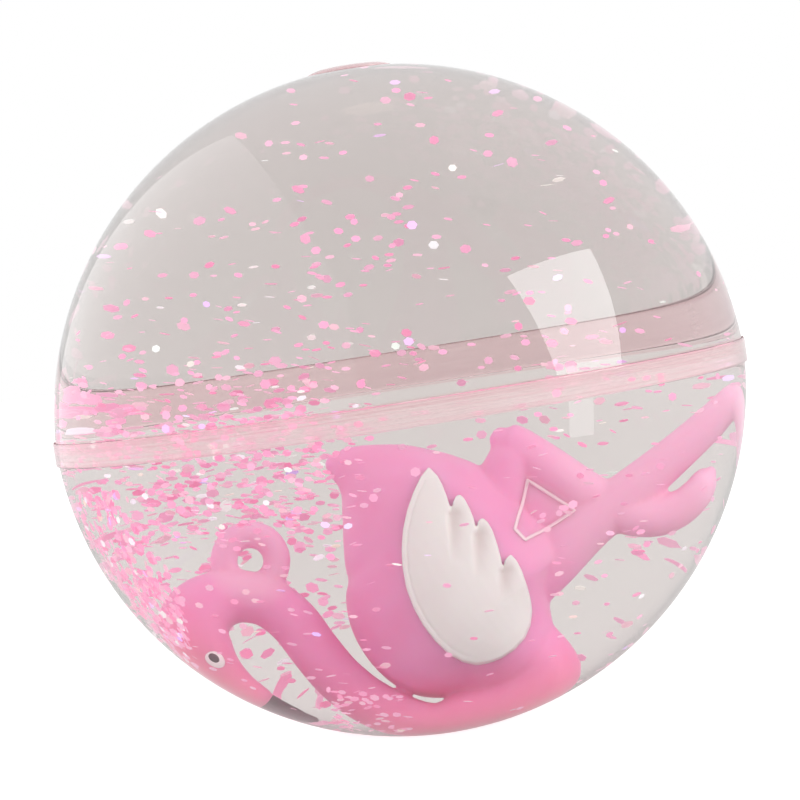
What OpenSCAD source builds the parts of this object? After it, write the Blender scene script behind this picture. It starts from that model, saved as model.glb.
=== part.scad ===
// Clear water-filled bouncy ball with glitter and a flamingo figure inside.
// Millimetres. Origin at the ball's centre, +Z through the fill plug, the seam in the XY plane.

/* [Shell] */
// Diameter of the sphere that each half is moulded on
ball_d = 100; // [99.5:0.1:104]
// Wall thickness of the shell
wall = 3.5; // [2.5:0.1:3.8]
// Height that each half loses at its rim in the weld
rim_loss = 1.65; // [1:0.05:1.9]

/* [Seam] */
// Height of the welded band between the halves
weld_h = 3.4; // [2.4:0.1:5]
// How far the band stands out past the halves
weld_proud = 0.3; // [0.1:0.05:0.6]
// Number of fine grooves around the band
weld_grooves = 4; // [1:1:5]
// Depth of each groove
groove_d = 0.12; // [0.05:0.01:0.2]
// Width of each groove
groove_w = 0.25; // [0.15:0.05:0.3]

/* [Fill plug] */
// Diameter of the plug's flat head
plug_head_d = 12.3; // [11:0.1:16]
// Thickness of the plug's head
plug_head_t = 1.6; // [1.2:0.1:2.2]
// How far the head stands past the pole of the ball
plug_proud = 0.25; // [0.1:0.05:0.6]
// Diameter of the plug's stem in the fill port
plug_stem_d = 9; // [6:0.1:10]
// Chamfer around the head
plug_chamfer = 0.3; // [0.1:0.05:0.5]

/* [Fill] */
// Space kept between the water and the pieces it touches
water_gap = 0.3; // [0.2:0.05:0.5]
// Width of a flake across its corners
flake_w = 1.4; // [1:0.1:1.8]
// Thickness of a flake
flake_t = 0.12; // [0.08:0.01:0.2]
// Spacing of the places a flake may hang at
flake_pitch = 5.2; // [5:0.1:6]
// Share of the places below the seam that hold a flake
flake_low = 0.20; // [0.08:0.01:0.22]
// Share of the places above the seam that hold a flake
flake_high = 0.06; // [0.03:0.01:0.1]
// Seed of the flakes' places
flake_seed = 7; // [1:1:40]

/* [Flamingo] */
// Least room between the tumbling figure and the shell
figure_clear = 1.25; // [0.75:0.1:6]
// Height of a wing over the body
wing_t = 1.3; // [0.8:0.1:1.6]
// Distance from the mid-plane to the floor of a wing's recess
wing_floor = 6.0; // [5.6:0.1:7]
// Width of the grooves between the feathers
feather_w = 0.5; // [0.3:0.05:0.6]
// Depth of the grooves between the feathers
feather_d = 0.5; // [0.3:0.05:0.7]
// Thickness of the web in the crook of the bent leg
web_t = 3.0; // [2:0.1:4]
// Diameter of an eye
eye_d = 3.2; // [2.6:0.1:3.4]
// Diameter of a pupil
pupil_d = 1.6; // [1.2:0.1:2]
// Distance from the mid-plane to the face of an eye
eye_y = 4.25; // [4.2:0.05:4.4]
// Depth of an eye in its socket
eye_depth = 1.2; // [0.9:0.1:1.6]
// Depth of a pupil in the eye
pupil_depth = 0.6; // [0.4:0.1:0.7]
// How far a pupil stands out of the eye
pupil_proud = 0.15; // [0.05:0.05:0.2]
// Radius of the hanging loop's ring
loop_r = 2.9; // [2.7:0.05:3.1]
// Radius of the hanging loop's section
loop_t = 1.35; // [1.1:0.05:1.45]

/* [Hidden] */
$fn = 96;

ball_r = ball_d / 2;
cav_r = ball_r - wall;
pole_z = ball_r - rim_loss;
cav_pole_z = cav_r - rim_loss;
weld_r = sqrt(ball_r * ball_r - rim_loss * rim_loss) + weld_proud;
plug_top_z = pole_z + plug_proud;
plug_shoulder_z = plug_top_z - plug_head_t;

// The figure's sections: x, z, half width in the profile's plane, half width across it
body_line = [
    [-8.4, -5.2, 1.0, 0.9], [-7.8, -5.5, 1.75, 1.5], [-6.9, -5.9, 2.4, 2.1], [-5.8, -6.6, 3.4, 3.0],
    [-4.6, -7.7, 4.9, 4.4], [-3.2, -9.3, 6.6, 5.9], [-1.4, -11.8, 8.7, 7.6], [0.4, -14.8, 10.2, 8.9],
    [2.4, -20.0, 12.0, 10.0], [4.6, -25.0, 11.2, 9.8], [7.2, -28.6, 6.8, 7.6], [9.4, -31.6, 4.6, 5.0],
    [10.4, -33.2, 2.2, 2.2]
];
neck_line = [
    [9.0, -28.5, 4.4, 4.6], [10.5, -33.2, 5.2, 5.0], [7.4, -36.6, 5.6, 5.2], [2.4, -37.5, 5.1, 4.9],
    [-2.6, -37.2, 4.0, 4.2], [-7.6, -33.2, 3.2, 3.3], [-11.0, -29.2, 2.9, 2.9], [-13.3, -25.2, 2.8, 2.8],
    [-15.2, -21.6, 2.8, 2.8], [-18.0, -18.9, 2.8, 2.8], [-21.7, -18.0, 3.1, 3.3], [-25.1, -19.3, 3.9, 4.1],
    [-26.9, -22.4, 4.6, 4.5], [-26.1, -26.2, 4.2, 4.1], [-24.0, -29.4, 3.5, 3.1], [-21.6, -31.8, 3.0, 2.6]
];
beak_line = [[-19.4, -33.4, 2.7, 2.2], [-17.2, -34.4, 2.0, 1.6], [-15.4, -34.7, 0.8, 0.7]];
thigh_line = [
    [6.4, -15.4, 4.0, 3.6], [8.4, -12.0, 3.3, 3.3], [9.95, -9.4, 2.75, 2.9], [11.2, -7.2, 2.3, 2.5],
    [11.7, -6.2, 1.4, 1.5]
];
shin_line = [
    [9.9, -5.1, 0.9, 0.9], [10.5, -5.6, 1.7, 1.7], [11.5, -6.4, 2.25, 2.25], [14.6, -9.1, 2.4, 2.4],
    [18.2, -12.4, 2.4, 2.4], [21.8, -15.2, 2.4, 2.4], [25.6, -16.5, 2.3, 2.2], [28.8, -16.2, 2.2, 2.0],
    [31.1, -15.1, 2.0, 1.9], [32.1, -14.2, 1.75, 1.7], [32.7, -13.6, 1.2, 1.2], [33.0, -13.2, 0.6, 0.6]
];
leg_line = [
    [6.0, -23.0, 4.2, 4.0], [12.5, -19.7, 3.5, 3.4], [18.0, -16.2, 2.9, 2.9], [24.0, -12.9, 2.5, 2.5],
    [30.0, -9.5, 2.2, 2.2], [35.5, -6.5, 2.1, 2.1], [38.0, -5.3, 1.9, 1.9], [39.2, -4.7, 0.9, 0.9]
];
foot_line = [
    [38.3, -4.4, 0.9, 0.9], [38.9, -5.8, 1.9, 1.9], [40.0, -8.6, 1.9, 1.9], [40.2, -11.6, 1.7, 1.7],
    [39.7, -13.8, 0.8, 0.8]
];
wing_outline = [
    [2.0, -7.2], [2.8, -8.3], [3.2, -9.4], [3.5, -10.7], [3.7, -12.0], [3.75, -13.2], [4.1, -11.5],
    [4.5, -10.9], [5.0, -10.75], [5.4, -11.3], [5.8, -12.4], [6.1, -13.6], [6.3, -15.9], [6.5, -14.2],
    [6.8, -13.85], [7.15, -13.8], [7.6, -14.3], [8.0, -15.4], [8.3, -17.0], [8.5, -18.6], [8.6, -20.6],
    [8.85, -19.1], [9.3, -18.6], [9.7, -18.4], [10.2, -19.2], [10.6, -20.4], [10.9, -22.1], [11.05, -23.8],
    [11.0, -25.2], [10.6, -26.8], [9.8, -28.3], [8.5, -29.5], [6.9, -30.3], [5.4, -30.6], [4.0, -30.6],
    [2.5, -30.0], [1.1, -28.9], [-0.2, -27.1], [-1.3, -25.0], [-2.1, -22.7], [-2.55, -20.4], [-2.6, -18.1],
    [-2.4, -15.9], [-1.9, -13.7], [-1.1, -11.6], [-0.1, -9.7], [1.0, -8.1]
];
feather_lines = [[[3.75, -13.0], [3.1, -19.0]], [[6.3, -15.7], [5.6, -21.0]], [[8.6, -20.4], [8.1, -24.2]]];
web_outline = [[8.6, -12.2], [11.6, -7.6], [17.6, -12.4], [18.4, -15.4], [12.2, -19.0]];
web_y = 0;
bent_leg_y = 0;
leg_y = 0;
eye_at = [-26.0, -25.9];
loop_at = [-18.75, -14.4];

function mix(a, b, c, d, t) =
    0.5 * (2 * b + (c - a) * t + (2 * a - 5 * b + 4 * c - d) * t * t + (3 * b - a - 3 * c + d) * t * t * t);
function at(s, i) = s[min(max(i, 0), len(s) - 1)];
function fine(s) = [
    for (i = [0 : len(s) - 2]) for (t = [0, 0.5]) mix(at(s, i - 1), at(s, i), at(s, i + 1), at(s, i + 2), t),
    s[len(s) - 1]
];
function step(s, i) = at(s, i + 1) - at(s, i - 1);
function run(s, i) = let (d = step(s, i)) norm([d[0], d[1]]);
function along(s, i) = let (d = step(s, i)) [d[0], d[1]] / run(s, i);
function slope(s, i) = step(s, i)[2] / run(s, i);
function lift(s, i, grow) =
    i == 0 ? -grow : i == len(s) - 1 ? grow : -grow * slope(s, i) / sqrt(1 + pow(slope(s, i), 2));
function ring(s, i, n, grow) =
    let (d = along(s, i), c = [s[i][0], s[i][1]] + d * lift(s, i, grow))
    [for (k = [0 : n - 1])
        let (u = (s[i][2] + grow) * cos(360 * k / n), v = (s[i][3] + grow) * sin(360 * k / n))
        [c[0] - d[1] * u, v, c[1] + d[0] * u]];

body_rings = fine(body_line);
neck_rings = fine(concat(neck_line, beak_line));
head_last = 2 * len(neck_line) - 2;
thigh_rings = fine(thigh_line);
shin_rings = fine(shin_line);
leg_rings = fine(leg_line);
foot_rings = fine(foot_line);

// The figure keeps its proportions and fills the cavity up to the room it tumbles in
function reach(s, y) = max([for (q = s) norm([q[0], y, q[1]]) + max(q[2], q[3])]);
figure_reach = max(
    reach(body_rings, 0), reach(neck_rings, 0), reach(shin_rings, bent_leg_y), reach(leg_rings, leg_y),
    reach(foot_rings, leg_y)
);
fig_k = (cav_pole_z - figure_clear) / figure_reach;
wing_out = max([for (q = body_rings) q[3]]) + 2 * wing_t;

// Distance from a point to the figure's skin, taken at its sections
function clear_of(p, s, y) =
    min([for (q = s) norm(p / fig_k - [q[0], y, q[1]]) - max(q[2], q[3])]);
function room_at(p) = min(
    clear_of(p, body_rings, 0), clear_of(p, neck_rings, 0), clear_of(p, thigh_rings, bent_leg_y),
    clear_of(p, shin_rings, bent_leg_y), clear_of(p, leg_rings, leg_y), clear_of(p, foot_rings, leg_y),
    norm(p / fig_k - [loop_at[0], 0, loop_at[1]]) - loop_r - loop_t
);
function in_water(p) =
    norm([p[0], p[1], abs(p[2]) + rim_loss]) < cav_r - 2 * water_gap - flake_w;

// Every place of the lattice: its position, its turn and its draw
flake_span = floor((cav_r - water_gap) / flake_pitch);
flake_side = 2 * flake_span + 1;
flake_count = flake_side * flake_side * flake_side;
draw = rands(0, 1, flake_count, flake_seed);
shift = [for (k = [1 : 3]) rands(-0.3, 0.3, flake_count, flake_seed + k)];
turn = [for (k = [4 : 6]) rands(0, 360, flake_count, flake_seed + k)];
function cell(i) = [
    i % flake_side, floor(i / flake_side) % flake_side, floor(i / flake_side / flake_side)
];
function jitter(i) = [shift[0][i], shift[1][i], shift[2][i]];
function place(i) = flake_pitch * (cell(i) - flake_span * [1, 1, 1] + jitter(i));
function share(p) = p[2] < 3 ? flake_low : flake_high;
flakes = [
    for (i = [0 : flake_count - 1])
    let (p = place(i))
    if (draw[i] < share(p) && in_water(p))
    if (room_at(p) > wing_t + flake_w)
    [p, [turn[0][i], turn[1][i], turn[2][i]]]
];

module half_ball(r) translate([0, 0, -rim_loss]) sphere(r);

module half_shell()
    difference() {
        half_ball(ball_r);
        half_ball(cav_r);
        translate([-ball_d, -ball_d, weld_h / 2 - 2 * ball_d]) cube(2 * ball_d);
    }

module cavity(gap)
    intersection() {
        half_ball(cav_r - gap);
        mirror([0, 0, 1]) half_ball(cav_r - gap);
    }

module tube(s, n, grow = 0, first = 0, last = -1) {
    stop = last < 0 ? len(s) - 1 : last;
    rows = stop - first;
    polyhedron(
        points = [for (i = [first : stop]) each ring(s, i, n, grow)],
        faces = [
            [for (k = [0 : n - 1]) n - 1 - k],
            for (i = [0 : rows - 1]) for (k = [0 : n - 1])
                each [
                    [i * n + k, i * n + n + (k + 1) % n, i * n + n + k],
                    [i * n + k, i * n + (k + 1) % n, i * n + n + (k + 1) % n]
                ],
            [for (k = [0 : n - 1]) rows * n + k]
        ],
        convexity = 6
    );
}

module hanging_loop(grow = 0)
    translate([loop_at[0], 0, loop_at[1]])
        rotate([90, 0, 0]) rotate_extrude($fn = 40) translate([loop_r, 0]) circle(loop_t + grow, $fn = 20);

module leg_web(grow = 0)
    translate([0, web_y + web_t / 2 + grow, 0])
        rotate([90, 0, 0])
            linear_extrude(height = web_t + 2 * grow) offset(delta = grow) polygon(web_outline);

module legs(grow = 0) {
    leg_web(grow);
    translate([0, bent_leg_y, 0]) tube(thigh_rings, 14, grow);
    translate([0, bent_leg_y, 0]) tube(shin_rings, 14, grow);
    translate([0, leg_y, 0]) tube(leg_rings, 14, grow);
    translate([0, leg_y, 0]) tube(foot_rings, 14, grow);
}

module wing_block(grow = 0)
    translate([0, grow - wing_floor, 0])
        rotate([90, 0, 0]) linear_extrude(height = wing_out) offset(delta = grow) polygon(wing_outline);

module feather_cut(a, b)
    translate([a[0], -wing_floor, a[1]])
        rotate([0, atan2(a[1] - b[1], b[0] - a[0]), 0])
            translate([-feather_w, -wing_out, -feather_w / 2])
                cube([norm(b - a) + feather_w, wing_out, feather_w]);

module wing()
    difference() {
        intersection() {
            wing_block();
            tube(body_rings, 28, wing_t);
        }
        difference() {
            for (f = feather_lines) feather_cut(f[0], f[1]);
            tube(body_rings, 28, wing_t - feather_d);
        }
    }

module eye_post(d, face, depth)
    for (side = [0, 1])
        mirror([0, side, 0])
            translate([eye_at[0], -face, eye_at[1]]) rotate([-90, 0, 0]) cylinder(h = depth, d = d, $fn = 32);

module figure_pocket(grow) {
    tube(body_rings, 28, grow);
    tube(neck_rings, 16, grow);
    legs(grow);
    hanging_loop(grow);
    eye_post(eye_d + 2 * grow, eye_y + pupil_proud + grow, eye_depth);
    for (side = [0, 1])
        mirror([0, side, 0])
            intersection() {
                wing_block(grow);
                tube(body_rings, 28, wing_t + grow);
            }
}

module flake_set(kind)
    for (i = [0 : len(flakes) - 1])
        if (kind == (i % 8 == 3 ? 1 : i % 16 == 6 ? 2 : 0))
            translate(flakes[i][0]) rotate(flakes[i][1])
                cylinder(h = flake_t, d = flake_w, center = true, $fn = 6);

module upper_shell()
    color([0.93, 0.86, 0.88, 0.3])
        difference() {
            half_shell();
            cylinder(h = ball_d, d = plug_stem_d);
            translate([0, 0, plug_shoulder_z]) cylinder(h = ball_d, d = plug_head_d);
        }

module lower_shell()
    color([0.93, 0.86, 0.88, 0.3]) mirror([0, 0, 1]) half_shell();

module seam_weld()
    color([0.93, 0.70, 0.73, 0.6])
        difference() {
            rotate_extrude()
                difference() {
                    translate([cav_r - wall, -weld_h / 2]) square([weld_r - cav_r + wall, weld_h]);
                    for (k = [1 : weld_grooves])
                        translate([weld_r, weld_h * (k / (weld_grooves + 1) - 0.5)])
                            square([2 * groove_d, groove_w], center = true);
                }
            cavity(0);
        }

module fill_plug()
    color([0.95, 0.72, 0.78, 0.6])
        rotate_extrude()
            polygon([
                [0, cav_pole_z], [plug_stem_d / 2, cav_pole_z], [plug_stem_d / 2, plug_shoulder_z],
                [plug_head_d / 2, plug_shoulder_z], [plug_head_d / 2, plug_top_z - plug_chamfer],
                [plug_head_d / 2 - plug_chamfer, plug_top_z], [0, plug_top_z]
            ]);

module water()
    color([0.90, 0.89, 0.88, 0.2])
        difference() {
            cavity(water_gap);
            scale(fig_k) figure_pocket(water_gap / fig_k);
        }

module glitter_pink()
    color([0.98, 0.45, 0.70]) flake_set(0);

module glitter_pearl()
    color([0.95, 0.95, 1.00]) flake_set(1);

module glitter_violet()
    color([0.80, 0.66, 0.92]) flake_set(2);

module flamingo_body()
    color([0.98, 0.50, 0.68])
        scale(fig_k)
            difference() {
                union() {
                    tube(body_rings, 28);
                    tube(neck_rings, 16, last = head_last);
                    legs();
                    hanging_loop();
                }
                wing_block();
                mirror([0, 1, 0]) wing_block();
                eye_post(eye_d, eye_y + eye_depth, 2 * eye_depth);
            }

module wing_left()
    color([0.98, 0.95, 0.95]) scale(fig_k) wing();

module wing_right()
    color([0.98, 0.95, 0.95]) scale(fig_k) mirror([0, 1, 0]) wing();

module eye_whites()
    color([0.97, 0.97, 0.97])
        scale(fig_k)
            difference() {
                eye_post(eye_d, eye_y, eye_depth);
                eye_post(pupil_d, eye_y + pupil_depth, 2 * pupil_depth);
            }

module pupils()
    color([0.05, 0.05, 0.06])
        scale(fig_k) eye_post(pupil_d, eye_y + pupil_proud, pupil_depth + pupil_proud);

module beak_tip()
    color([0.10, 0.09, 0.10]) scale(fig_k) tube(neck_rings, 16, first = head_last);

upper_shell();
lower_shell();
seam_weld();
fill_plug();
water();
glitter_pink();
glitter_pearl();
glitter_violet();
flamingo_body();
wing_left();
wing_right();
eye_whites();
pupils();
beak_tip();
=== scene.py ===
"""Dresses the clear glitter ball: soft shell, welded seam, plug, water, flakes and the flamingo inside."""

import logging
import math
import random
from dataclasses import dataclass
from enum import Enum

import bmesh
import bpy
from mathutils import Euler, Matrix, Vector
from mathutils.bvhtree import BVHTree


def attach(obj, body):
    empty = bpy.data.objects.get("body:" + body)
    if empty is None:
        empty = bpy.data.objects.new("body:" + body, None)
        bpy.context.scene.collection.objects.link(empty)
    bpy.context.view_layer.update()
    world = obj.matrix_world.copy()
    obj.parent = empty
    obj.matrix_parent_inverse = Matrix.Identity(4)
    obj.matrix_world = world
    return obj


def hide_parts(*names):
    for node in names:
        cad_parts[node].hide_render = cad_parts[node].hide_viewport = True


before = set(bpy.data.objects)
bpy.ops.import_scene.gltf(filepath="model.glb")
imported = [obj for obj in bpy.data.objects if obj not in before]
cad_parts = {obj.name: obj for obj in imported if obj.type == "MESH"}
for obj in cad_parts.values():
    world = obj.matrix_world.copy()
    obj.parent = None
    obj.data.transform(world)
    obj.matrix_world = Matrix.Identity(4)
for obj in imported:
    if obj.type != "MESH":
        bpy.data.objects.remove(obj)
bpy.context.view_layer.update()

MM = 0.001
WHITE = (1.0, 1.0, 1.0, 1.0)
MIX_SHARE, MIX_FIRST, MIX_SECOND, MIX_COLOUR = 0, 6, 7, 2
CAP_ANGLES, CAP_FULLNESS = (35.0, 65.0), 0.8
log = logging.getLogger("glitter_ball")

Point = tuple[float, float]
Section = tuple[float, float, float, float]
Colour = tuple[float, float, float]


class Body(Enum):
    """The moving bodies that a piece can ride on."""

    SHELL = "shell"
    FILLING = "filling"
    FIGURE = "figure"


class Slot(Enum):
    """The record's material slots."""

    CLEAR_VINYL = "clear_vinyl"
    WELD = "weld"
    PLUG = "plug"
    WATER = "water"
    FLAKE_PINK = "flake_pink"
    FLAKE_PEARL = "flake_pearl"
    FLAKE_VIOLET = "flake_violet"
    FIGURE_PINK = "figure_pink"
    FIGURE_WHITE = "figure_white"
    EYE_WHITE = "eye_white"
    FIGURE_BLACK = "figure_black"


class Side(Enum):
    """The two flanks of the figure; the near one faces the photograph's camera."""

    NEAR = -1.0
    FAR = 1.0


BODY_LINE: tuple[Section, ...] = (
    (-8.4, -5.2, 1.0, 0.9), (-7.8, -5.5, 1.75, 1.5), (-6.9, -5.9, 2.4, 2.1), (-5.8, -6.6, 3.4, 3.0),
    (-4.6, -7.7, 4.9, 4.4), (-3.2, -9.3, 6.6, 5.9), (-1.4, -11.8, 8.7, 7.6), (0.4, -14.8, 10.2, 8.9),
    (2.4, -20.0, 12.0, 10.0), (4.6, -25.0, 11.2, 9.8), (7.2, -28.6, 6.8, 7.6), (9.4, -31.6, 4.6, 5.0),
    (10.4, -33.2, 2.2, 2.2),
)
NECK_LINE: tuple[Section, ...] = (
    (9.0, -28.5, 4.4, 4.6), (10.5, -33.2, 5.2, 5.0), (7.4, -36.6, 5.6, 5.2), (2.4, -37.5, 5.1, 4.9),
    (-2.6, -37.2, 4.0, 4.2), (-7.6, -33.2, 3.2, 3.3), (-11.0, -29.2, 2.9, 2.9), (-13.3, -25.2, 2.8, 2.8),
    (-15.2, -21.6, 2.8, 2.8), (-18.0, -18.9, 2.8, 2.8), (-21.7, -18.0, 3.1, 3.3), (-25.1, -19.3, 3.9, 4.1),
    (-26.9, -22.4, 4.6, 4.5), (-26.1, -26.2, 4.2, 4.1), (-24.0, -29.4, 3.5, 3.1), (-21.6, -31.8, 3.0, 2.6),
)
BEAK_LINE: tuple[Section, ...] = (
    (-19.4, -33.4, 2.7, 2.2), (-17.2, -34.4, 2.0, 1.6), (-15.4, -34.7, 0.8, 0.7),
)
THIGH_LINE: tuple[Section, ...] = (
    (6.4, -15.4, 4.0, 3.6), (8.4, -12.0, 3.3, 3.3), (9.95, -9.4, 2.75, 2.9), (11.2, -7.2, 2.3, 2.5),
    (11.7, -6.2, 1.4, 1.5),
)
SHIN_LINE: tuple[Section, ...] = (
    (10.0, -5.3, 1.3, 1.3), (10.6, -5.8, 1.95, 1.9), (11.5, -6.4, 2.3, 2.25), (14.6, -9.1, 2.4, 2.4),
    (18.2, -12.4, 2.4, 2.4), (21.8, -15.2, 2.4, 2.4), (25.6, -16.5, 2.3, 2.2), (28.8, -16.2, 2.2, 2.0),
    (31.1, -15.1, 2.15, 2.0), (32.2, -14.1, 2.0, 1.9), (32.9, -13.4, 1.6, 1.5), (33.3, -13.0, 0.9, 0.9),
)
LEG_LINE: tuple[Section, ...] = (
    (6.0, -23.0, 4.2, 4.0), (12.5, -19.7, 3.5, 3.4), (18.0, -16.2, 2.9, 2.9), (24.0, -12.9, 2.5, 2.5),
    (30.0, -9.5, 2.2, 2.2), (35.5, -6.5, 2.1, 2.1), (38.0, -5.3, 1.9, 1.9), (39.2, -4.7, 0.9, 0.9),
)
FOOT_LINE: tuple[Section, ...] = (
    (38.3, -4.4, 0.9, 0.9), (38.9, -5.8, 1.9, 1.9), (40.0, -8.6, 1.9, 1.9), (40.2, -11.6, 1.7, 1.7),
    (39.7, -13.8, 0.8, 0.8),
)
WEB_OUTLINE: tuple[Point, ...] = ((8.6, -12.2), (11.6, -7.6), (17.6, -12.4), (18.4, -15.4), (12.2, -19.0))
WEB_FRAME: tuple[Point, ...] = ((12.45, -10.6), (10.6, -15.4), (11.5, -16.7), (16.75, -14.4))
WING_OUTLINE: tuple[Point, ...] = (
    (2.0, -7.2), (2.8, -8.3), (3.2, -9.4), (3.5, -10.7), (3.7, -12.0), (3.75, -13.2), (4.1, -11.5),
    (4.5, -10.9), (5.0, -10.75), (5.4, -11.3), (5.8, -12.4), (6.1, -13.6), (6.3, -15.9), (6.5, -14.2),
    (6.8, -13.85), (7.15, -13.8), (7.6, -14.3), (8.0, -15.4), (8.3, -17.0), (8.5, -18.6), (8.6, -20.6),
    (8.85, -19.1), (9.3, -18.6), (9.7, -18.4), (10.2, -19.2), (10.6, -20.4), (10.9, -22.1), (11.05, -23.8),
    (11.0, -25.2), (10.6, -26.8), (9.8, -28.3), (8.5, -29.5), (6.9, -30.3), (5.4, -30.6), (4.0, -30.6),
    (2.5, -30.0), (1.1, -28.9), (-0.2, -27.1), (-1.3, -25.0), (-2.1, -22.7), (-2.55, -20.4), (-2.6, -18.1),
    (-2.4, -15.9), (-1.9, -13.7), (-1.1, -11.6), (-0.1, -9.7), (1.0, -8.1),
)
PLUG_EDGE: tuple[Point, ...] = (
    (0.0, 0.66), (0.0, 0.56), (0.12, 0.46), (0.8, 0.2), (1.3, 0.06), (1.8, 0.0), (2.4, 0.04),
)
FEATHER_LINES: tuple[tuple[Point, Point], ...] = (
    ((3.75, -13.0), (3.1, -19.0)), ((6.3, -15.7), (5.6, -21.0)), ((8.6, -20.4), (8.1, -24.2)),
)


def share_of(value: float, start: float, span: float) -> float:
    """Tell how far a value lies along a span, from 0 to 1."""
    return min(max((value - start) / span, 0.0), 1.0)


def deselect() -> None:
    """Leave edit mode and deselect every object."""
    if bpy.context.object and bpy.context.object.mode != "OBJECT":
        bpy.ops.object.mode_set(mode="OBJECT")
    bpy.ops.object.select_all(action="DESELECT")


def take(piece: bpy.types.Object) -> None:
    """Select one piece alone and make it the active one."""
    deselect()
    piece.select_set(True)
    bpy.context.view_layer.objects.active = piece


def named(name: str) -> bpy.types.Object:
    """Give the piece that was just added its name."""
    piece = bpy.context.object
    piece.name = name
    piece.data.name = name
    return piece


def edit_all() -> None:
    """Open the active piece in edit mode with all its points selected."""
    bpy.ops.object.mode_set(mode="EDIT")
    bpy.ops.mesh.select_all(action="SELECT")


def mark_points(piece: bpy.types.Object, label: str, values: list[float]) -> None:
    """Write a number onto every point of a piece, for its finish to read."""
    piece.data.attributes.new(label, "FLOAT", "POINT").data.foreach_set("value", values)


def apply_modifier(piece: bpy.types.Object, kind: str, **settings: object) -> None:
    """Add a modifier to a piece and apply it.

    Args:
        piece: The piece to change.
        kind: The modifier's type.
        **settings: The modifier's own values.
    """
    take(piece)
    modifier = piece.modifiers.new(kind.lower(), kind)
    for key, value in settings.items():
        setattr(modifier, key, value)
    bpy.ops.object.modifier_apply(modifier=modifier.name)


def carve(piece: bpy.types.Object, tool: bpy.types.Object, operation: str) -> None:
    """Cut a piece with a tool body, and delete the tool.

    Args:
        piece: The piece to cut.
        tool: The closed body that cuts it.
        operation: DIFFERENCE or INTERSECT.
    """
    apply_modifier(piece, "BOOLEAN", operation=operation, solver="EXACT", object=tool)
    bpy.data.objects.remove(tool, do_unlink=True)


def place_ring(piece: bpy.types.Object, ring: list[Vector]) -> None:
    """Move the selected points of a piece in edit mode onto a ring.

    Args:
        piece: The piece in edit mode, whose points carry their number on the ring as "spoke".
        ring: The places of the ring's points, in metres.
    """
    mesh = bmesh.from_edit_mesh(piece.data)
    spoke = mesh.verts.layers.int["spoke"]
    for vertex in mesh.verts:
        if vertex.select:
            vertex.co = ring[vertex[spoke]]
    bmesh.update_edit_mesh(piece.data)


def open_ring(name: str, count: int) -> bpy.types.Object:
    """Add a bare circle whose points know their number, and enter edit mode.

    Args:
        name: The piece's name.
        count: How many points the circle has.

    Returns:
        The piece, in edit mode with all its points selected.
    """
    deselect()
    bpy.ops.mesh.primitive_circle_add(vertices=count, radius=MM, fill_type="NOTHING")
    piece = named(name)
    spoke = piece.data.attributes.new("spoke", "INT", "POINT")
    spoke.data.foreach_set("value", range(count))
    edit_all()
    return piece


def close_piece(piece: bpy.types.Object, smooth_angle: float) -> bpy.types.Object:
    """Merge doubles, turn the faces outwards and shade a piece that is in edit mode.

    Args:
        piece: The piece in edit mode.
        smooth_angle: Edges flatter than this, in degrees, are shaded smooth.

    Returns:
        The same piece, in object mode.
    """
    bpy.ops.mesh.select_all(action="SELECT")
    bpy.ops.mesh.remove_doubles(threshold=0.0005 * MM)
    bpy.ops.mesh.delete_loose()
    bpy.ops.mesh.select_all(action="SELECT")
    bpy.ops.mesh.normals_make_consistent(inside=False)
    bpy.ops.object.mode_set(mode="OBJECT")
    if "spoke" in piece.data.attributes:
        piece.data.attributes.remove(piece.data.attributes["spoke"])
    take(piece)
    bpy.ops.object.shade_smooth_by_angle(angle=math.radians(smooth_angle))
    return piece


def turned(name: str, outline: list[Point], steps: int, closed: bool) -> bpy.types.Object:
    """Spin an outline once round the Z axis.

    Args:
        name: The piece's name.
        outline: Pairs of radius and height, in millimetres.
        steps: Steps of the spin.
        closed: Whether the outline joins its own start; an open one begins and ends on the axis.

    Returns:
        The closed piece.
    """
    piece = open_ring(name, len(outline))
    place_ring(piece, [Vector((radius * MM, 0.0, height * MM)) for radius, height in outline])
    if not closed:
        mesh = bmesh.from_edit_mesh(piece.data)
        ends = {0, len(outline) - 1}
        for edge in mesh.edges:
            edge.select_set({corner.index for corner in edge.verts} == ends)
        bmesh.update_edit_mesh(piece.data)
        bpy.ops.mesh.select_mode(type="EDGE")
        bpy.ops.mesh.delete(type="EDGE")
        bpy.ops.mesh.select_mode(type="VERT")
        bpy.ops.mesh.select_all(action="SELECT")
    bpy.ops.mesh.spin(steps=steps, angle=math.tau, center=(0.0, 0.0, 0.0), axis=(0.0, 0.0, 1.0))
    return close_piece(piece, 35.0)


def drawn(name: str, rings: list[list[Vector]]) -> bpy.types.Object:
    """Extrude a ring along a row of rings and close both ends.

    Args:
        name: The piece's name.
        rings: The rings' points in metres, all of one count.

    Returns:
        The closed tube.
    """
    piece = open_ring(name, len(rings[0]))
    place_ring(piece, rings[0])
    bpy.ops.mesh.select_mode(type="EDGE")
    for ring in rings[1:]:
        bpy.ops.mesh.extrude_edges_move()
        place_ring(piece, ring)
    bpy.ops.mesh.select_mode(type="VERT")
    bpy.ops.mesh.select_all(action="SELECT")
    bpy.ops.mesh.fill_holes(sides=0)
    return close_piece(piece, 60.0)


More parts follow.
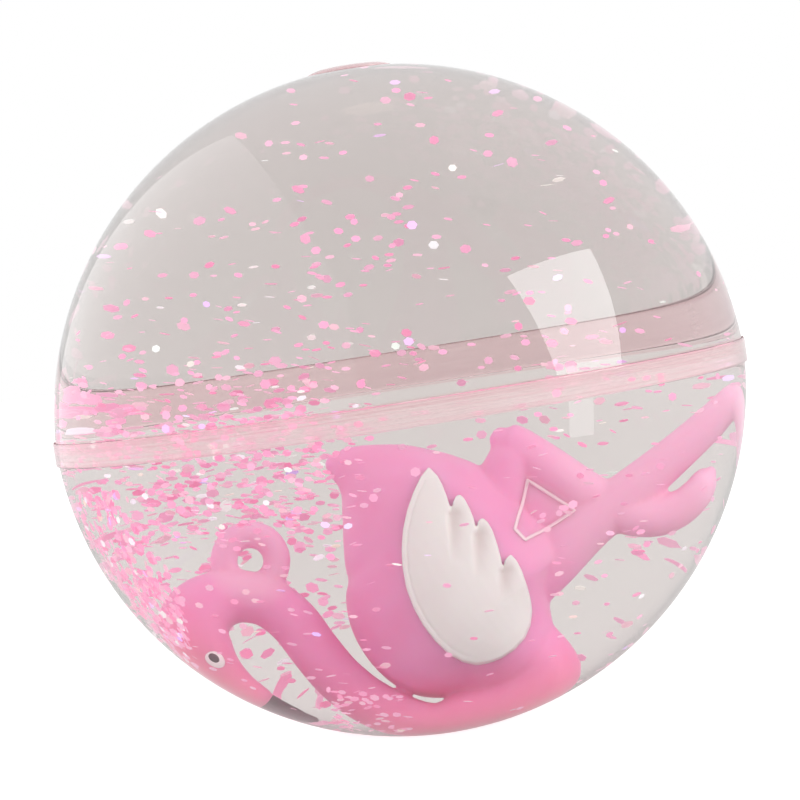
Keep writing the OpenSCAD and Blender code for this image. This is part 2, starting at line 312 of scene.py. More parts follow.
def smooth_run(sections: tuple[Section, ...], per_span: int) -> list[Section]:
    """Run a smooth curve through sections.

    Args:
        sections: The sections, each x, z, half width in the profile and half width across it.
        per_span: How many sections each span becomes.

    Returns:
        The closer row of sections.
    """
    last = len(sections) - 1
    rows: list[Section] = []
    for index in range(last):
        spans = [sections[min(max(index + k, 0), last)] for k in (-1, 0, 1, 2)]
        for step in range(per_span):
            t = step / per_span
            rows.append(tuple(
                0.5 * (2 * b + (c - a) * t + (2 * a - 5 * b + 4 * c - d) * t ** 2
                       + (3 * b - a - 3 * c + d) * t ** 3)
                for a, b, c, d in zip(*spans)
            ))
    rows.append(sections[-1])
    return rows


def rings_along(sections: list[Section], sides: int, across: float, scale: float) -> list[list[Vector]]:
    """Set a ring square to the run at every section, with a rounded cap at each end.

    Args:
        sections: The sections, in millimetres.
        sides: Points of a ring.
        across: Where the run's mid-plane stands on Y, in millimetres.
        scale: The size that the figure is fitted to.

    Returns:
        The rings' points in metres.
    """
    last = len(sections) - 1
    rings: list[list[Vector]] = []
    for index, (x, z, width, depth) in enumerate(sections):
        before, after = sections[max(index - 1, 0)], sections[min(index + 1, last)]
        way = Vector((after[0] - before[0], 0.0, after[1] - before[1])).normalized()
        out = Vector((-way.z, 0.0, way.x))
        caps = [(0.0, 1.0)]
        if index in (0, last):
            end = -1.0 if index == 0 else 1.0
            caps += [(end * math.sin(math.radians(a)), math.cos(math.radians(a))) for a in CAP_ANGLES]
        if index == 0:
            caps.reverse()
        for lift, shrink in caps:
            centre = Vector((x, across, z)) + way * (lift * min(width, depth) * CAP_FULLNESS)
            rings.append([
                (centre + out * (width * shrink * math.cos(math.tau * k / sides))
                 + Vector((0.0, depth * shrink * math.sin(math.tau * k / sides), 0.0))) * (scale * MM)
                for k in range(sides)
            ])
    return rings


def block(name: str, outline: tuple[Point, ...], low: float, high: float, scale: float) -> bpy.types.Object:
    """Extrude an outline in the profile's plane across the figure.

    Args:
        name: The piece's name.
        outline: Pairs of x and z, in millimetres.
        low: Where the block starts on Y, in millimetres.
        high: Where it ends.
        scale: The size that the figure is fitted to.

    Returns:
        The closed block.
    """
    return drawn(name, [
        [Vector((x, level, z)) * (scale * MM) for x, z in outline] for level in (low, high)
    ])


def copied(piece: bpy.types.Object, name: str) -> bpy.types.Object:
    """Copy a piece with its mesh, and open the copy in edit mode with all its points selected."""
    take(piece)
    bpy.ops.object.duplicate()
    copy = named(name)
    edit_all()
    return copy


def soften(piece: bpy.types.Object, voxel: float, rounds: int) -> None:
    """Draw one even skin over a piece and smooth it.

    Args:
        piece: The piece to change.
        voxel: The skin's fineness, in millimetres.
        rounds: How often the skin is smoothed.
    """
    apply_modifier(piece, "REMESH", mode="VOXEL", voxel_size=voxel * MM, use_smooth_shade=True)
    apply_modifier(piece, "SMOOTH", factor=0.5, iterations=rounds)


def swollen(piece: bpy.types.Object, name: str, distance: float) -> bpy.types.Object:
    """Copy a piece and move the copy's skin along its normals.

    Args:
        piece: The piece to copy.
        name: The copy's name.
        distance: How far the skin moves outwards, in millimetres.

    Returns:
        The copy, with its own mesh.
    """
    copy = copied(piece, name)
    mesh = bmesh.from_edit_mesh(copy.data)
    mesh.normal_update()
    for vertex in mesh.verts:
        vertex.co += vertex.normal * (distance * MM)
    bmesh.update_edit_mesh(copy.data)
    bpy.ops.object.mode_set(mode="OBJECT")
    return copy


def merged(pieces: list[bpy.types.Object], name: str) -> bpy.types.Object:
    """Join pieces into the first one.

    Args:
        pieces: The pieces to join.
        name: The name of the result.

    Returns:
        The joined piece.
    """
    take(pieces[0])
    for piece in pieces[1:]:
        piece.select_set(True)
    bpy.ops.object.join()
    return named(name)


def skin_tree(piece: bpy.types.Object, unit: float = 1.0) -> BVHTree:
    """Make a search tree of a piece's skin.

    Args:
        piece: The piece.
        unit: The length in metres that the tree counts in.

    Returns:
        The tree.
    """
    return BVHTree.FromPolygons(
        [vertex.co / unit for vertex in piece.data.vertices],
        [tuple(face.vertices) for face in piece.data.polygons],
    )


class NodeSheet:
    """A node tree that short calls fill."""

    def __init__(self, tree: bpy.types.NodeTree) -> None:
        """Start from an empty tree."""
        self.tree = tree
        tree.nodes.clear()

    def add(self, kind: str, values: dict | None = None, **settings: object) -> bpy.types.Node:
        """Add one node.

        Args:
            kind: The node's type.
            values: Socket names or numbers with their plain values.
            **settings: The node's own settings.

        Returns:
            The node.
        """
        node = self.tree.nodes.new(kind)
        for key, value in settings.items():
            setattr(node, key, value)
        self.fill(node, values or {})
        return node

    @staticmethod
    def fill(node: bpy.types.Node, values: dict) -> None:
        """Set a node's sockets, by name or number, to plain values."""
        for socket, value in values.items():
            node.inputs[socket].default_value = value

    def link(self, source: bpy.types.NodeSocket, target: bpy.types.NodeSocket) -> None:
        """Join two sockets."""
        self.tree.links.new(source, target)

    def wire(self, *runs: tuple[bpy.types.Node, str | int, bpy.types.Node, str | int]) -> None:
        """Join nodes, each run naming a node and its output, then a node and its input."""
        for source, out, target, into in runs:
            self.link(source.outputs[out], target.inputs[into])

    def mix(self, values: dict | None = None) -> bpy.types.Node:
        """Add a node that mixes two colours."""
        return self.add("ShaderNodeMix", values, data_type="RGBA")

    def mark(self, label: str) -> bpy.types.Node:
        """Add a node that reads a number off the piece's points."""
        return self.add("ShaderNodeAttribute", attribute_name=label, attribute_type="GEOMETRY")

    def put_out(self, shader: bpy.types.Node) -> bpy.types.Node:
        """Send a shader to the material's surface, and give the output node."""
        output = self.add("ShaderNodeOutputMaterial")
        self.wire((shader, 0, output, "Surface"))
        return output


def rgba(colour: Colour) -> tuple[float, float, float, float]:
    """Add full opacity to a colour."""
    return (*colour, 1.0)


def material_sheet(name: str) -> tuple[bpy.types.Material, NodeSheet]:
    """Make an empty node material.

    Args:
        name: The material's name.

    Returns:
        The material and its sheet.
    """
    material = bpy.data.materials.new(name)
    material.use_nodes = True
    return material, NodeSheet(material.node_tree)


def group_sheet(name: str, inputs: dict[str, str], outputs: dict[str, str]) -> tuple[
        NodeSheet, bpy.types.Node, bpy.types.Node]:
    """Make a shader node group with named sockets.

    Args:
        name: The group's name.
        inputs: Socket names with their types.
        outputs: Socket names with their types.

    Returns:
        The sheet, its input node and its output node.
    """
    tree = bpy.data.node_groups.new(name, "ShaderNodeTree")
    for way, sockets in (("INPUT", inputs), ("OUTPUT", outputs)):
        for label, kind in sockets.items():
            tree.interface.new_socket(name=label, in_out=way, socket_type=kind)
    sheet = NodeSheet(tree)
    return sheet, sheet.add("NodeGroupInput"), sheet.add("NodeGroupOutput")


class SharedEffects:
    """Node groups that several finishes use."""

    def __init__(self) -> None:
        """Build each group once."""
        self.clouding = self.make_clouding()
        self.moulding = self.make_moulding()

    @staticmethod
    def make_clouding() -> bpy.types.NodeTree:
        """Cloud two colours into each other, as pigment does in a soft moulding."""
        sheet, inputs, outputs = group_sheet(
            "pigment_clouding",
            {"Vector": "NodeSocketVector", "Scale": "NodeSocketFloat", "Thin": "NodeSocketColor",
             "Deep": "NodeSocketColor"},
            {"Colour": "NodeSocketColor"},
        )
        noise = sheet.add("ShaderNodeTexNoise", {"Detail": 4.0, "Roughness": 0.55, "Distortion": 0.4})
        spread = sheet.add("ShaderNodeMapRange", {"From Min": 0.32, "From Max": 0.68})
        blend = sheet.mix()
        sheet.wire(
            (inputs, "Vector", noise, "Vector"), (inputs, "Scale", noise, "Scale"),
            (noise, "Fac", spread, "Value"), (spread, "Result", blend, MIX_SHARE),
            (inputs, "Thin", blend, MIX_FIRST), (inputs, "Deep", blend, MIX_SECOND),
            (blend, MIX_COLOUR, outputs, "Colour"),
        )
        return sheet.tree

    @staticmethod
    def make_moulding() -> bpy.types.NodeTree:
        """Give the fine grain and the worn, uneven gloss of a moulded skin."""
        sheet, inputs, outputs = group_sheet(
            "moulding_marks",
            {"Vector": "NodeSocketVector", "Grain": "NodeSocketFloat", "Low": "NodeSocketFloat",
             "High": "NodeSocketFloat"},
            {"Height": "NodeSocketFloat", "Roughness": "NodeSocketFloat"},
        )
        grain = sheet.add("ShaderNodeTexNoise", {"Detail": 5.0, "Roughness": 0.6})
        wear = sheet.add("ShaderNodeTexNoise", {"Scale": 140.0, "Detail": 3.0, "Distortion": 1.2})
        gloss = sheet.add("ShaderNodeMapRange", {"From Min": 0.35, "From Max": 0.7})
        sheet.wire(
            (inputs, "Vector", grain, "Vector"), (inputs, "Vector", wear, "Vector"),
            (inputs, "Grain", grain, "Scale"), (wear, "Fac", gloss, "Value"),
            (inputs, "Low", gloss, "To Min"), (inputs, "High", gloss, "To Max"),
            (grain, "Fac", outputs, "Height"), (gloss, "Result", outputs, "Roughness"),
        )
        return sheet.tree


@dataclass(frozen=True)
class MouldedSkin:
    """The marks that every moulded finish has: clouded colour, grain and uneven gloss."""

    thin_pigment_and_painted_light: Colour
    deep: Colour
    cloud_scale: float
    grain: float
    gloss: tuple[float, float]
    relief: float

    def lay(self, sheet: NodeSheet, effects: SharedEffects) -> tuple[bpy.types.Node, bpy.types.Node]:
        """Add the skin's nodes and a shader that they feed.

        Args:
            sheet: The material's sheet.
            effects: The shared node groups.

        Returns:
            The shader, and the node that gives its colour.
        """
        coords = sheet.add("ShaderNodeTexCoord")
        cloud = sheet.add("ShaderNodeGroup", {
            "Scale": self.cloud_scale, "Thin": rgba(self.thin_pigment_and_painted_light), "Deep": rgba(self.deep),
        }, node_tree=effects.clouding)
        marks = sheet.add("ShaderNodeGroup", {
            "Grain": self.grain, "Low": self.gloss[0], "High": self.gloss[1],
        }, node_tree=effects.moulding)
        bump = sheet.add("ShaderNodeBump", {"Strength": self.relief, "Distance": 0.1 * MM})
        shader = sheet.add("ShaderNodeBsdfPrincipled")
        sheet.wire(
            (coords, "Object", cloud, "Vector"), (coords, "Object", marks, "Vector"),
            (marks, "Height", bump, "Height"), (bump, "Normal", shader, "Normal"),
            (marks, "Roughness", shader, "Roughness"), (cloud, "Colour", shader, "Base Color"),
        )
        return shader, cloud


def let_light_in(sheet: NodeSheet, shader: bpy.types.Node, tint: Colour) -> bpy.types.Node:
    """Let shadow and diffuse rays straight through, so that the lamps light what is inside.

    Args:
        sheet: The material's sheet.
        shader: The shader that the eye sees.
        tint: What the straight rays keep of their colour.

    Returns:
        The node to put out.
    """
    path = sheet.add("ShaderNodeLightPath")
    straight = sheet.add("ShaderNodeBsdfTransparent", {"Color": rgba(tint)})
    for ray in ("Is Shadow Ray", "Is Diffuse Ray"):
        mix = sheet.add("ShaderNodeMixShader")
        sheet.wire((path, ray, mix, 0), (shader, 0, mix, 1), (straight, 0, mix, 2))
        shader = mix
    return shader


@dataclass(frozen=True)
class ClearVinyl:
    """See-through soft vinyl, or the water behind it."""

    name: str
    skin: MouldedSkin
    ior: float
    clearness: float
    straight_tint: Colour
    absorb_colour: Colour | None = None
    absorb_density: float = 0.0
    lines: Colour | None = None

    def make(self, effects: SharedEffects) -> bpy.types.Material:
        """Build the material.

        Args:
            effects: The shared node groups.

        Returns:
            The material.
        """
        material, sheet = material_sheet(self.name)
        shader, cloud = self.skin.lay(sheet, effects)
        if self.lines:
            sheet.link(self.drawn_lines(sheet, cloud), shader.inputs["Base Color"])
        sheet.fill(shader, {"IOR": self.ior, "Transmission Weight": self.clearness})
        output = sheet.put_out(let_light_in(sheet, shader, self.straight_tint))
        if self.absorb_colour:
            volume = sheet.add("ShaderNodeVolumeAbsorption", {
                "Color": rgba(self.absorb_colour), "Density": self.absorb_density,
            })
            sheet.wire((volume, 0, output, "Volume"))
        return material

    def drawn_lines(self, sheet: NodeSheet, cloud: bpy.types.Node) -> bpy.types.NodeSocket:
        """Draw the weld's fine deeper lines along the band, seen from outside only.

        Args:
            sheet: The material's sheet.
            cloud: The node that gives the clouded colour.

        Returns:
            The socket of the lined colour.
        """
        coords = sheet.add("ShaderNodeTexCoord")
        stretch = sheet.add("ShaderNodeMapping", {"Scale": (22.0, 22.0, 4200.0)})
        streak = sheet.add("ShaderNodeTexNoise", {"Scale": 1.0, "Detail": 2.0})
        line = sheet.add("ShaderNodeMapRange", {"From Min": 0.5, "From Max": 0.68})
        height = sheet.add("ShaderNodeSeparateXYZ")
        edge = sheet.add("ShaderNodeMapRange", {"From Min": 1.15 * MM, "From Max": 1.5 * MM})
        most = sheet.add("ShaderNodeMath", operation="MAXIMUM")
        side = sheet.add("ShaderNodeNewGeometry")
        front = sheet.add("ShaderNodeMath", {0: 1.0}, operation="SUBTRACT")
        shown = sheet.add("ShaderNodeMath", operation="MULTIPLY")
        blend = sheet.mix({MIX_SECOND: rgba(self.lines)})
        sheet.wire(
            (coords, "Object", stretch, "Vector"), (coords, "Object", height, 0),
            (stretch, 0, streak, "Vector"), (streak, "Fac", line, "Value"), (height, "Z", edge, "Value"),
            (line, 0, most, 0), (edge, 0, most, 1), (side, "Backfacing", front, 1), (most, 0, shown, 0),
            (front, 0, shown, 1), (shown, 0, blend, MIX_SHARE), (cloud, "Colour", blend, MIX_FIRST),
        )
        return blend.outputs[MIX_COLOUR]


@dataclass(frozen=True)
class SoftMoulding:
    """Opaque soft vinyl that light sinks into a little."""

    name: str
    skin: MouldedSkin
    sink_weight: float
    sink_depth: float
    sheen_level: float
    # painted light and shade: a colour mixed in by the painted-light mark, paler on the pink figure, darker
    # in the wing's grooves
    painted_light_and_shade: Colour | None = None
    # painted shade: the deeper pink mixed in low on the figure
    low_shade_colour: Colour = (0.95, 0.16, 0.32)

    def make(self, effects: SharedEffects) -> bpy.types.Material:
        """Build the material.

        Args:
            effects: The shared node groups.

        Returns:
            The material.
        """
        material, sheet = material_sheet(self.name)
        shader, cloud = self.skin.lay(sheet, effects)
        sheet.fill(shader, {
            "Subsurface Weight": self.sink_weight, "Subsurface Scale": self.sink_depth * MM,
            "Subsurface Radius": (1.0, 0.5, 0.7), "Specular IOR Level": self.sheen_level,
        })
        if self.painted_light_and_shade:
            # painted light and shade: the first mark mixes in the painted colour, paler on the pink, darker
            # on the wings; the second deepens the pink low down as painted shade
            thin_pigment_and_painted_light, painted_low_shade = sheet.mark("thin_pigment_and_painted_light"), sheet.mark("painted_low_shade")
            blend, low_shade_mix = (sheet.mix({MIX_SECOND: rgba(colour)}) for colour in (self.painted_light_and_shade, self.low_shade_colour))
            sheet.wire(
                (thin_pigment_and_painted_light, "Fac", blend, MIX_SHARE), (cloud, "Colour", blend, MIX_FIRST),
                (painted_low_shade, "Fac", low_shade_mix, MIX_SHARE), (blend, MIX_COLOUR, low_shade_mix, MIX_FIRST),
                (low_shade_mix, MIX_COLOUR, shader, "Base Color"),
            )
        sheet.put_out(shader)
        return material


@dataclass(frozen=True)
class FlakeFilm:
    """Coloured film flakes, each with its own tone, that glow a little in it as painted light."""

    name: str
    tones: tuple[tuple[float, Colour], ...]
    gloss: float
    sparkle: float
    sheer: float
    painted_glow: float

    def make(self) -> bpy.types.Material:
        """Build the material.

        Returns:
            The material.
        """
        material, sheet = material_sheet(self.name)
        tone = sheet.mark("tone")
        ramp = sheet.add("ShaderNodeValToRGB")
        # painted light: the flakes glow in their own colour, though they are no lamp
        shader = sheet.add("ShaderNodeBsdfPrincipled", {
            "Roughness": self.gloss, "Specular IOR Level": 0.3,
            "Coat Weight": self.sparkle, "Coat Roughness": 0.08, "Coat IOR": 1.7,
            "Emission Strength": self.painted_glow,
        })
        stops = ramp.color_ramp.elements
        while len(stops) < len(self.tones):
            stops.new(0.5)
        for stop, (position, colour) in zip(stops, self.tones):
            stop.position = position
            stop.color = rgba(colour)
        glow = sheet.add("ShaderNodeBsdfTranslucent")
        both = sheet.add("ShaderNodeMixShader", {0: self.sheer})
        sheet.wire(
            (tone, "Fac", ramp, 0), (ramp, "Color", shader, "Base Color"),
            (ramp, "Color", shader, "Emission Color"), (ramp, "Color", glow, "Color"),
            (shader, 0, both, 1), (glow, 0, both, 2),
        )
        sheet.put_out(both)
        return material


def dress(piece: bpy.types.Object, materials: list[bpy.types.Material], body: Body, slot: Slot,
          *nodes: str) -> None:
    """Give a piece its finishes and its place in the model.

    Args:
        piece: The finished piece.
        materials: Its materials, in the order of its faces' numbers.
        body: The body it rides on.
        slot: The record's slot; not used.
        *nodes: The CAD nodes it stands for.
    """
    piece.data.materials.clear()
    for material in materials:
        piece.data.materials.append(material)
    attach(piece, body.value)
    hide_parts(*nodes)
    log.info("%s: %d faces, rides on %s", piece.name, len(piece.data.polygons), body.value)


@dataclass
class BallShell:
    """The two moulded halves, the welded band between them and the fill plug."""

    radius: float = 50.0
    wall: float = 3.5
    rim_loss: float = 1.65
    weld_height: float = 3.4
    weld_proud: float = 0.3
    plug_head: float = 12.3
    plug_head_height: float = 1.6
    plug_proud: float = 0.25
    plug_stem: float = 9.0
    fit: float = 0.02
    arc_points: int = 84
    steps: int = 180
    band_rows: int = 40
    band_ridges: int = 6
    band_ridge: float = 0.004
    band_edge: float = 0.12
    band_round: float = 0.14
    band_skin: float = 0.6
    band_nick: float = 0.00015
    nick_waves: float = 5.0
    stem_chamfer: float = 0.3
    plug_face: float = 0.65
    wall_slack: float = 0.08
    half_gloss: tuple[float, float] = (0.0, 0.02)

    def arc(self, radius: float, start: Point, end: Point) -> list[Point]:
        """Follow a half's sphere between two points of its outline.

        Args:
            radius: The sphere's radius.
            start: First point, radius and height.
            end: Last point.

        Returns:
            The points of the arc, both ends included.
        """
        a, b = (math.atan2(height + self.rim_loss, across) for across, height in (start, end))
        angles = [a + (b - a) * k / self.arc_points for k in range(self.arc_points + 1)]
        return [(max(radius * math.cos(t), 0.0), radius * math.sin(t) - self.rim_loss) for t in angles]

    def on_sphere(self, radius: float, across: float) -> Point:
        """Find the point of a half's sphere at a distance from the axis."""
        return across, math.sqrt(radius ** 2 - across ** 2) - self.rim_loss

    def at_height(self, radius: float, height: float) -> Point:
        """Find the point of a half's sphere at a height over the seam."""
        return math.sqrt(radius ** 2 - (height + self.rim_loss) ** 2), height

    def upper_half(self) -> bpy.types.Object:
        """Turn the upper half with its stepped fill port."""
        inner = self.radius - self.wall
        rim = self.weld_height / 2 + self.fit
        head, stem = self.plug_head / 2 + self.fit, self.plug_stem / 2 + self.fit
        shoulder = self.radius - self.rim_loss + self.plug_proud - self.plug_head_height - self.fit
        outline = self.arc(self.radius, self.at_height(self.radius, rim), self.on_sphere(self.radius, head))
        outline += [(head, shoulder), (stem, shoulder)]
        outline += self.arc(inner, self.on_sphere(inner, stem), self.at_height(inner, rim))
        return turned("shell_upper", outline, self.steps, True)

    def lower_half(self) -> bpy.types.Object:
        """Turn the plain lower half."""
        inner = self.radius - self.wall
        rim = self.weld_height / 2 + self.fit
        outline = self.arc(self.radius, (0.0, self.radius - self.rim_loss), self.at_height(self.radius, rim))
        outline += self.arc(inner, self.at_height(inner, rim), (0.0, inner - self.rim_loss))
        return turned("shell_lower", [(across, -height) for across, height in outline], self.steps, False)

    def weld_band(self) -> bpy.types.Object:
        """Turn the band, nearly smooth, with softened edges and a slightly ragged skin."""
        inner, half = self.radius - self.wall, self.weld_height / 2 - self.fit
        outer = math.sqrt(self.radius ** 2 - self.rim_loss ** 2) + self.weld_proud
        ridges = random.Random(5)
        outline = [self.at_height(inner, abs(half * k / 4)) for k in range(-4, 5)]
        outline = [(across, half * k / 4) for (across, _), k in zip(outline, range(-4, 5))]
        rows = self.band_rows
        for row in range(rows + 1):
            height = half - 2 * half * row / rows
            edge = share_of(half - abs(height), 0.0, self.band_round * half)
            ridge = 0.5 - 0.5 * math.cos(math.tau * row * self.band_ridges / rows)
            rounding = self.band_edge * (1 - math.sqrt(edge * (2 - edge)))
            rough = ridges.uniform(0.0, self.band_ridge)
            outline.append((outer - rounding - self.band_ridge * ridge - rough, height))
        piece = turned("weld_band", outline, 2 * self.steps, True)
        nicks = [ridges.uniform(-1.0, 1.0) for _ in range(2 * self.steps)]
        for vertex in piece.data.vertices:
            across = math.hypot(vertex.co.x, vertex.co.y)
            if across > (self.radius - self.band_skin) * MM:
                turn = math.atan2(vertex.co.y, vertex.co.x) / math.tau * len(nicks)
                nick = nicks[round(turn) % len(nicks)]
                vertex.co.xy *= 1 + self.band_nick * nick * math.cos(vertex.co.z / MM * self.nick_waves)
        return piece

    def fill_plug(self) -> bpy.types.Object:
        """Turn the plug, with a low cone edge and a shallow dish in its head."""
        stem, head = self.plug_stem / 2 - self.fit, self.plug_head / 2 - self.fit
        pole = self.radius - self.rim_loss
        top = pole + self.plug_proud
        shoulder = top - self.plug_head_height + self.fit
        foot, chamfer = pole - self.wall, self.stem_chamfer
        outline = [(0.0, foot), (stem - chamfer, foot), (stem, foot + chamfer)]
        outline += [(stem, shoulder), (head, shoulder)]
        outline += [(head - inset, top - drop) for inset, drop in PLUG_EDGE] + [(0.0, top - PLUG_EDGE[-1][1])]
        return turned("plug", outline, self.steps, False)

    def sort_walls(self, piece: bpy.types.Object, side: float) -> None:
        """Number a half's faces: outer wall, inner wall, cut faces.

        Args:
            piece: The half.
            side: 1 for the upper half and -1 for the lower one.
        """
        centre = Vector((0.0, 0.0, -side * self.rim_loss * MM))
        walls = (self.radius, self.radius - self.wall)
        for face in piece.data.polygons:
            apart = (face.center - centre).length / MM
            near = [abs(apart - wall) < self.wall_slack for wall in walls]
            face.material_index = near.index(True) if any(near) else 2

    def build(self, effects: SharedEffects) -> None:
        """Build and dress the four pieces.

        Args:
            effects: The shared node groups.
        """
        clear = MouldedSkin((0.935, 0.915, 0.905), (0.925, 0.895, 0.89), 45.0, 900.0, self.half_gloss, 0.002)
        blush = MouldedSkin((0.88, 0.72, 0.73), (0.86, 0.67, 0.685), 90.0, 1800.0, (0.08, 0.16), 0.08)
        rosy = MouldedSkin((0.84, 0.62, 0.63), (0.78, 0.50, 0.53), 200.0, 1800.0, (0.12, 0.24), 0.1)
        tinted = MouldedSkin((0.97, 0.87, 0.88), (0.96, 0.84, 0.85), 90.0, 900.0, (0.0, 0.05), 0.01)
        outer = ClearVinyl("clear_vinyl_outer", clear, 1.5, 1.0, (0.97, 0.95, 0.95))
        inner = ClearVinyl("clear_vinyl_inner", clear, 1.125, 1.0, (0.98, 0.97, 0.97))
        joint = ClearVinyl("vinyl_joint", tinted, 1.0, 1.0, (0.98, 0.95, 0.95))
        weld = ClearVinyl("weld_vinyl", blush, 1.5, 0.72, (0.97, 0.92, 0.93), lines=(0.86, 0.56, 0.60))
        weld_inner = ClearVinyl("weld_vinyl_inner", tinted, 1.125, 1.0, (0.97, 0.92, 0.93))
        plug = ClearVinyl("plug_vinyl", rosy, 1.5, 0.35, (0.95, 0.88, 0.89))
        walls = [finish.make(effects) for finish in (outer, inner, joint)]
        back = [weld_inner.make(effects), walls[2]]
        halves = ((self.upper_half(), 1.0, "upper_shell"), (self.lower_half(), -1.0, "lower_shell"))
        for piece, side, node in halves:
            dress(piece, walls, Body.SHELL, Slot.CLEAR_VINYL, node)
            self.sort_walls(piece, side)
        band, stopper = self.weld_band(), self.fill_plug()
        dress(band, [weld.make(effects)] + back, Body.SHELL, Slot.WELD, "seam_weld")
        dress(stopper, [plug.make(effects)] + back, Body.SHELL, Slot.PLUG, "fill_plug")
        for face in band.data.polygons:
            within = math.hypot(face.center.x, face.center.y) / MM < self.radius - self.wall / 2
            face.material_index = 2 if abs(face.normal.z) > 0.95 else int(within)
        for face in stopper.data.polygons:
            top = face.center.z > (self.radius - self.rim_loss + self.plug_proud - self.plug_face) * MM
            face.material_index = 0 if top else 1 if face.normal.z < -0.7 else 2


@dataclass
class FlamingoFigure:
    """The soft flamingo: one pink moulding with white wings, eyes and a black bill tip."""

    scale: float = 1.0005
    web_thickness: float = 3.0
    loop_at: Point = (-18.75, -14.4)
    loop_radius: float = 2.9
    loop_section: float = 1.5
    wing_height: float = 1.3
    wing_root: float = 0.9
    eye_at: Point = (-26.0, -25.9)
    eye_diameter: float = 3.2
    eye_face: float = 4.5
    eye_bulge: float = 1.2
    pupil_diameter: float = 1.6
    pupil_lift: float = 0.14
    pupil_bulge: float = 0.5
    bill_slimness: float = 0.88
    body_voxel: float = 0.3
    wing_voxel: float = 0.14
    body_smoothing: int = 7
    wing_smoothing: int = 3
    web_dip: float = 0.5
    web_slope: float = 0.9
    frame_spread: float = 1.08
    frame_bead: float = 0.2
    frame_steps: int = 8
    frame_mark: float = 2.0
    frame_cast: float = 12.0
    wing_span: Point = (-14.0, -1.5)
    # how strongly a groove's depth paints shade into it
    painted_groove_shade: float = 1.5
    groove_depth: float = 0.55
    groove_widths: tuple[float, float] = (1.2, 0.45)
    rim_line: float = 0.62
    rim_line_depth: float = 0.16
    rim_line_width: float = 0.13
    rim_start: int = 31
    rim_top: float = -8.6
    rim_fade: float = 5.0
    # spans where painted shade deepens the pink low down, away from the middle
    low_shade_drop: Point = (14.0, 12.0)
    low_shade_reach: Point = (30.0, 12.0)
    # spans where painted light makes the legs, the loop and the top paler
    painted_light_right: Point = (8.0, 10.0)
    painted_light_up: Point = (-27.0, 8.0)
    painted_light_loop: Point = (-6.0, 2.4)
    painted_light_top: Point = (-30.0, 24.0)
    painted_light_top_share: float = 0.3

    def limb(self, name: str, line: tuple[Section, ...], sides: int = 32) -> bpy.types.Object:
        """Draw one limb of the figure along its sections."""
        return drawn(name, rings_along(smooth_run(line, 6), sides, 0.0, self.scale))

    def trunk(self) -> bpy.types.Object:
        """Draw the body without limbs."""
        return self.limb("trunk", BODY_LINE, 56)

    def loop(self) -> bpy.types.Object:
        """Add the hanging loop on the head."""
        deselect()
        bpy.ops.mesh.primitive_torus_add(
            major_segments=48, minor_segments=20, major_radius=self.loop_radius * MM,
            minor_radius=self.loop_section * MM, rotation=(math.pi / 2, 0.0, 0.0),
            location=(self.loop_at[0] * MM, 0.0, self.loop_at[1] * MM),
        )
        ring = named("loop")
        bpy.ops.object.transform_apply(location=True, rotation=True, scale=True)
        return ring

    def sink_web(self, piece: bpy.types.Object) -> None:
        """Dip the web between the legs on both faces.

        Args:
            piece: The pink moulding.
        """
        floor, left = self.web_thickness / 2 * MM, 10.0 * MM
        edges = [(Vector(a), Vector(b)) for a, b in zip(WEB_FRAME, WEB_FRAME[1:] + WEB_FRAME[:1])]
        for vertex in piece.data.vertices:
            if vertex.co.x < left or abs(vertex.co.y) < floor:
                continue
            place = Vector((vertex.co.x, vertex.co.z)) / (self.scale * MM)
            inside = min((b - a).normalized().cross(place - a) for a, b in edges)
            press = min(max(self.web_slope * inside, 0.0), self.web_dip) * MM
            vertex.co.y = math.copysign(max(floor, abs(vertex.co.y) - press), vertex.co.y)

    def web_frame(self, piece: bpy.types.Object) -> list[bpy.types.Object]:
        """Draw the raised bead round the web, one on each face of the moulding; its pale colour is a painted
        highlight of the recess edge.

        Args:
            piece: The pink moulding that the line lies on.

        Returns:
            The two lines.
        """
        tree, steps = skin_tree(piece), self.frame_steps
        middle = sum((Vector(corner) for corner in WEB_FRAME), Vector((0.0, 0.0))) / len(WEB_FRAME)
        round_trip = WEB_FRAME + WEB_FRAME[:2]
        corners = [middle + (Vector(corner) - middle) * self.frame_spread for corner in round_trip]
        run = [(*a.lerp(b, k / steps), self.frame_bead, self.frame_bead)
               for a, b in zip(corners, corners[1:]) for k in range(steps)]
        beads = []
        for side in Side:
            bead = drawn("web_frame", rings_along(run, 8, 0.0, self.scale))
            for vertex in bead.data.vertices:
                start = Vector((vertex.co.x, side.value * self.frame_cast * MM, vertex.co.z))
                skin = tree.ray_cast(start, Vector((0.0, -side.value, 0.0)))[0]
                vertex.co.y += skin.y
            beads.append(bead)
        return beads

    def body(self) -> bpy.types.Object:
        """Join trunk, neck, legs, web and loop into one soft skin."""
        half = self.web_thickness / 2
        limbs = {
            "neck": NECK_LINE, "thigh": THIGH_LINE, "shin": SHIN_LINE, "leg": LEG_LINE, "foot": FOOT_LINE,
        }
        parts = [self.trunk()] + [self.limb(name, line) for name, line in limbs.items()]
        parts += [block("web", WEB_OUTLINE, -half, half, self.scale), self.loop()]
        piece = merged(parts, "flamingo_moulding")
        soften(piece, self.body_voxel, self.body_smoothing)
        self.sink_web(piece)
        self.paint_light_and_shade(piece)
        beads = self.web_frame(piece)
        # the mark gives the beads the painted-highlight finish
        for bead in beads:
            mark_points(bead, "thin_pigment_and_painted_light", [self.frame_mark] * len(bead.data.vertices))
        return merged([piece] + beads, "flamingo_moulding")

    def paint_light_and_shade(self, piece: bpy.types.Object) -> None:
        """Mark where painted light makes the moulding paler (legs, loop and top), and where painted shade
        makes it a deeper pink low down.

        Args:
            piece: The pink moulding.
        """
        marks, low_shades = [], []
        for vertex in piece.data.vertices:
            x, _, z = vertex.co / MM
